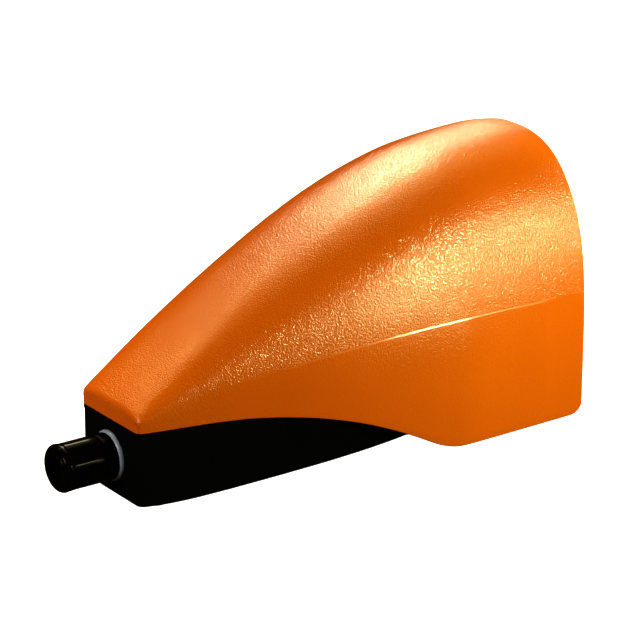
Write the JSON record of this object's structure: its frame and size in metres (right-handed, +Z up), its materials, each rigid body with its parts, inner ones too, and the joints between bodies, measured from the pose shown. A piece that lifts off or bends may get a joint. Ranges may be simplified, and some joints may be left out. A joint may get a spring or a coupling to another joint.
{
  "type": "guarded foot switch",
  "caption": "Industrial foot switch: sprung pedal under a tall grained guard hood, switch chamber behind it and a cable gland at the rear.",
  "frame": {"origin": "on the floor, at the centre of the overall footprint (hood and cable gland together)", "axes": "+Z up, +Y towards the rear (the cable gland points along +Y), +X across the switch; the shoe goes in from -Y"},
  "size_m": [0.1284, 0.302, 0.158],
  "materials": {
    "hood": "leather-grained satin",
    "base": "fine matt texture",
    "pedal": "moulded, ribbed tread",
    "gland": "polished moulding",
    "washer": "smooth",
    "rubber": "matt",
    "steel": "zinc plated",
    "spring_steel": "drawn wire",
    "brass": "turned",
    "bush_plastic": "natural acetal",
    "insulator": "moulded"
  },
  "bodies": {
    "frame": {"hood": "hood", "base_housing": "base", "switch_cover": "base", "cover_gasket": "rubber", "cover_screws": "steel", "plunger_guide": "brass", "plunger_seal": "rubber", "pivot_bracket": "steel", "bracket_screws": "steel", "pivot_pin": "steel", "pin_clips": "spring_steel", "return_springs": "spring_steel", "rest_buffer": "rubber", "stop_buffers": "rubber", "contact_block": "insulator", "fixed_contacts": "brass", "terminal_clamps": "steel", "terminal_screws": "steel", "contact_block_lid": "insulator", "contact_block_screws": "steel", "contact_spring": "spring_steel", "gland_washer": "washer", "gland_body": "gland", "gland_nut": "gland", "gland_seal": "rubber", "gland_locknut": "gland", "hood_screws": "steel", "rubber_feet": "rubber", "mounting_inserts": "brass"},
    "pedal": {"pedal": "pedal", "pivot_bushes": "bush_plastic"},
    "plunger": {"plunger": "steel", "contact_carrier": "bush_plastic", "moving_contacts": "brass"}
  },
  "joints": [
    {"name": "pedal_press", "type": "hinge", "parent": "frame", "child": "pedal", "pos_m": [0, 0.065, 0.05], "axis": [1, 0, 0], "range_deg": [0, 8.5], "stiffness_Nm_per_rad": 12, "springref_deg": -14.32, "deforming": ["return_springs"]},
    {"name": "plunger_slide", "type": "slide", "parent": "frame", "child": "plunger", "axis": [0, 0, -1], "range_m": [0, 0.004], "stiffness_N_per_m": 300, "springref_m": -0.003, "deforming": ["contact_spring"]}
  ],
  "couplings": [
    {"joint": "plunger_slide", "follows": "pedal_press", "m_per_rad": 0.026941}
  ]
}
